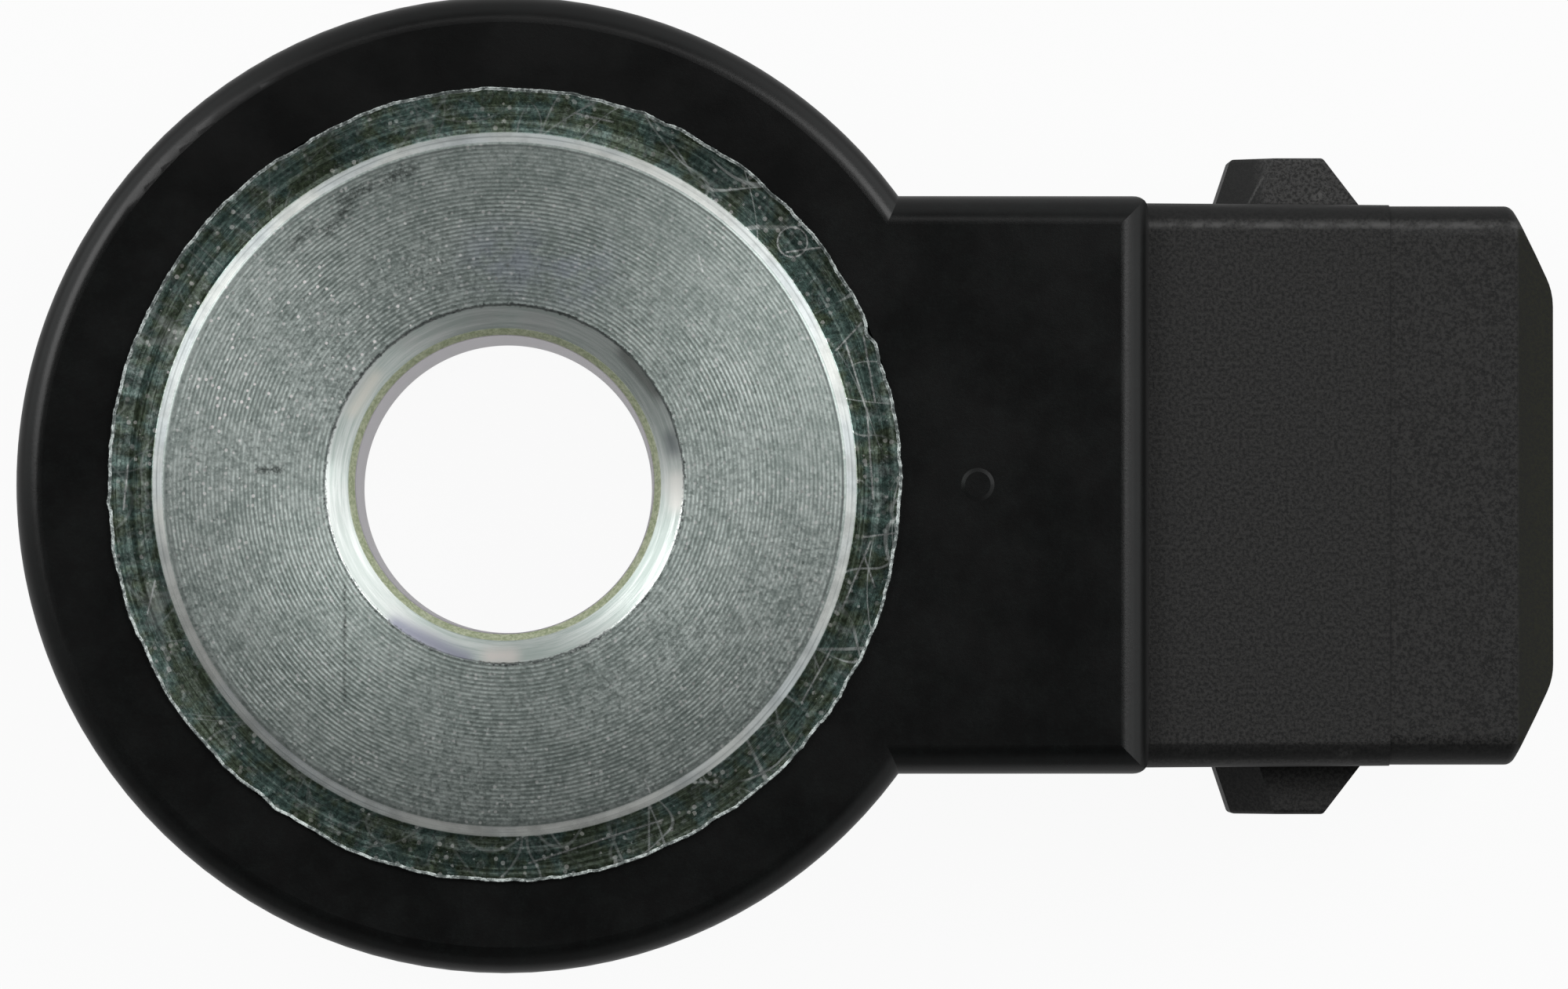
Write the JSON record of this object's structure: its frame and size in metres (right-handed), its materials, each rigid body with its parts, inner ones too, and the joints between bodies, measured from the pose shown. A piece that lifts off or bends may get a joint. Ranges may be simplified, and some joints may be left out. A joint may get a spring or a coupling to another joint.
{
  "type": "engine knock sensor",
  "caption": "Ring-shaped vibration sensor with a through bolt hole, a steel contact face and a moulded plug socket on one side.",
  "frame": {"origin": "on the bolt hole's axis, halfway along the steel sleeve", "axes": "+Z out of the contact face towards the engine block, +X along the connector towards its mouth"},
  "size_m": [0.0436, 0.0276, 0.013],
  "materials": {
    "black_nylon": "smooth glossy moulding on the body and neck, finely grained on the connector",
    "plated_steel": "turned, thin bright zinc plating, fine concentric tool marks",
    "insulating_film": "translucent amber film",
    "piezo_ceramic": "fired, lapped flat, thin silvered faces",
    "contact_sheet": "stamped, tin plated",
    "bright_steel": "machined, lightly oiled",
    "spring_steel": "hardened, blue grey"
  },
  "bodies": {
    "root": {"housing": "black_nylon", "pressure_sleeve": "plated_steel", "insulating_liner": "insulating_film", "near_insulating_washer": "insulating_film", "far_insulating_washer": "insulating_film", "piezo_ring": "piezo_ceramic", "return_contact_ring": "contact_sheet", "signal_contact_ring": "contact_sheet", "seismic_mass": "bright_steel", "disc_spring": "spring_steel", "ring_nut": "bright_steel", "return_terminal": "contact_sheet", "signal_terminal": "contact_sheet"}
  },
  "joints": []
}
